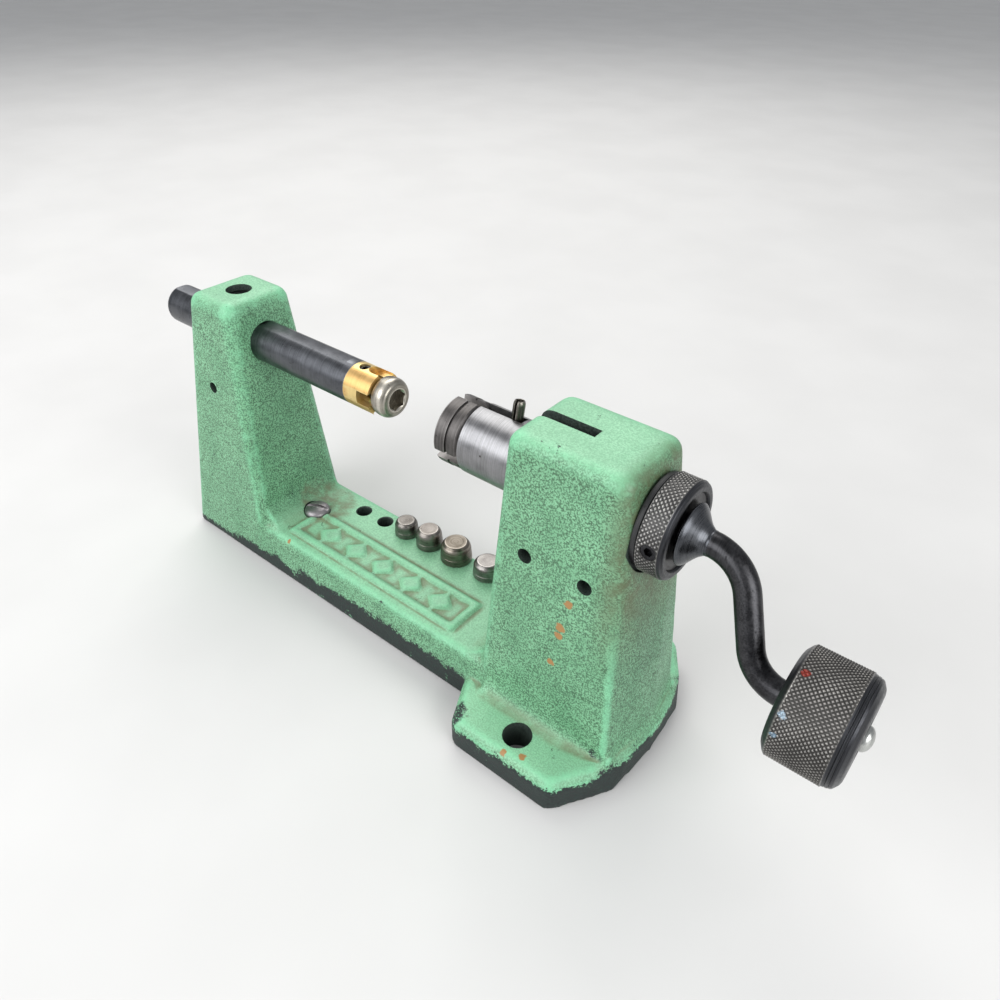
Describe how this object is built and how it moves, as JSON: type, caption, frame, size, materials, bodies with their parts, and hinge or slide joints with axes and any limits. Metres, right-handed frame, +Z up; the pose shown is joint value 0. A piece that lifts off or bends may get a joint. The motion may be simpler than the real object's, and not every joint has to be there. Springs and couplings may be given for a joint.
{
  "type": "cartridge case trimming lathe",
  "caption": "Hand-cranked bench lathe that trims cartridge cases: two-pillar cast frame, cutter on a clamped sliding shaft, collet spindle with stop collar and knurled crank knob.",
  "frame": {"origin": "on the bench face, midway between the two bolt holes of the foot", "axes": "+X along the spindle towards the crank, +Y to the back, +Z up from the bench"},
  "size_m": [0.2414, 0.0668, 0.0935],
  "materials": {
    "casting_paint": "green hammer finish, worn at the edges",
    "hold_down_screw_steel": "dull plated",
    "shaft_black_steel": "blackened bar",
    "cutter_coating": "gold nitride coating",
    "set_screw_black": "blackened",
    "fitted_pilot_steel": "turned bright",
    "lock_screw_steel": "dull",
    "sleeve_steel": "fine ground",
    "collet_steel": "blackened, lightly worn",
    "pin_steel": "dull spring steel",
    "collar_black_steel": "blackened and knurled",
    "collar_screw_black": "blackened",
    "washer_black": "oiled fibre",
    "drawbar_steel": "turned",
    "hub_steel": "turned, blackened",
    "arm_steel": "blackened rod",
    "knob_black_steel": "blackened and knurled",
    "knob_pin_steel": "bright rivet",
    "stored_pilot_1_steel": "turned, oiled",
    "stored_pilot_2_steel": "turned, oiled",
    "stored_pilot_3_steel": "turned, oiled",
    "stored_pilot_4_steel": "turned, oiled"
  },
  "bodies": {
    "frame": {"frame_casting": "casting_paint", "hold_down_screw": "hold_down_screw_steel"},
    "lock_screw": {"shaft_lock_screw": "lock_screw_steel"},
    "cutter_unit": {"cutter_shaft": "shaft_black_steel", "cutter": "cutter_coating", "cutter_set_screw": "set_screw_black"},
    "fitted_pilot": {"cutter_pilot": "fitted_pilot_steel"},
    "washer": {"thrust_washer": "washer_black"},
    "spindle": {"spindle_sleeve": "sleeve_steel", "stop_collar": "collar_black_steel", "stop_collar_screw": "collar_screw_black"},
    "collet_unit": {"collet": "collet_steel", "collet_pin": "pin_steel"},
    "crank": {"drawbar": "drawbar_steel", "crank_hub": "hub_steel", "crank_arm": "arm_steel", "knob_pin": "knob_pin_steel"},
    "knob": {"crank_knob": "knob_black_steel"},
    "pilot_1": {"stored_pilot_1": "stored_pilot_1_steel"},
    "pilot_2": {"stored_pilot_2": "stored_pilot_2_steel"},
    "pilot_3": {"stored_pilot_3": "stored_pilot_3_steel"},
    "pilot_4": {"stored_pilot_4": "stored_pilot_4_steel"}
  },
  "joints": [
    {"name": "shaft_slide", "type": "slide", "parent": "frame", "child": "cutter_unit", "axis": [1, 0, 0], "range_m": [-0.02, 0.008]},
    {"name": "fitted_pilot_pull", "type": "slide", "parent": "cutter_unit", "child": "fitted_pilot", "axis": [1, 0, 0], "range_m": [0, 0.01]},
    {"name": "lock_screw_lift", "type": "slide", "parent": "frame", "child": "lock_screw", "axis": [0, 0, 1], "range_m": [0, 0.004]},
    {"name": "spindle_slide", "type": "slide", "parent": "frame", "child": "washer", "axis": [1, 0, 0], "range_m": [0, 0.0022]},
    {"name": "spindle_spin", "type": "hinge", "parent": "washer", "child": "spindle", "pos_m": [0, 0, 0.078], "axis": [1, 0, 0], "continuous": true},
    {"name": "crank_turn", "type": "hinge", "parent": "spindle", "child": "crank", "pos_m": [0, 0, 0.078], "axis": [1, 0, 0], "range_deg": [0, 180]},
    {"name": "collet_draw", "type": "slide", "parent": "spindle", "child": "collet_unit", "axis": [1, 0, 0], "range_m": [0, 0.00064]},
    {"name": "knob_spin", "type": "hinge", "parent": "crank", "child": "knob", "pos_m": [0.065, -0.00926, 0.05618], "axis": [1, 0, 0], "continuous": true},
    {"name": "pilot_1_lift", "type": "slide", "parent": "frame", "child": "pilot_1", "axis": [0, 0, 1], "range_m": [0, 0.012]},
    {"name": "pilot_2_lift", "type": "slide", "parent": "frame", "child": "pilot_2", "axis": [0, 0, 1], "range_m": [0, 0.012]},
    {"name": "pilot_3_lift", "type": "slide", "parent": "frame", "child": "pilot_3", "axis": [0, 0, 1], "range_m": [0, 0.012]},
    {"name": "pilot_4_lift", "type": "slide", "parent": "frame", "child": "pilot_4", "axis": [0, 0, 1], "range_m": [0, 0.012]}
  ],
  "couplings": [
    {"joint": "collet_draw", "follows": "crank_turn", "m_per_rad": 0.0002021}
  ]
}
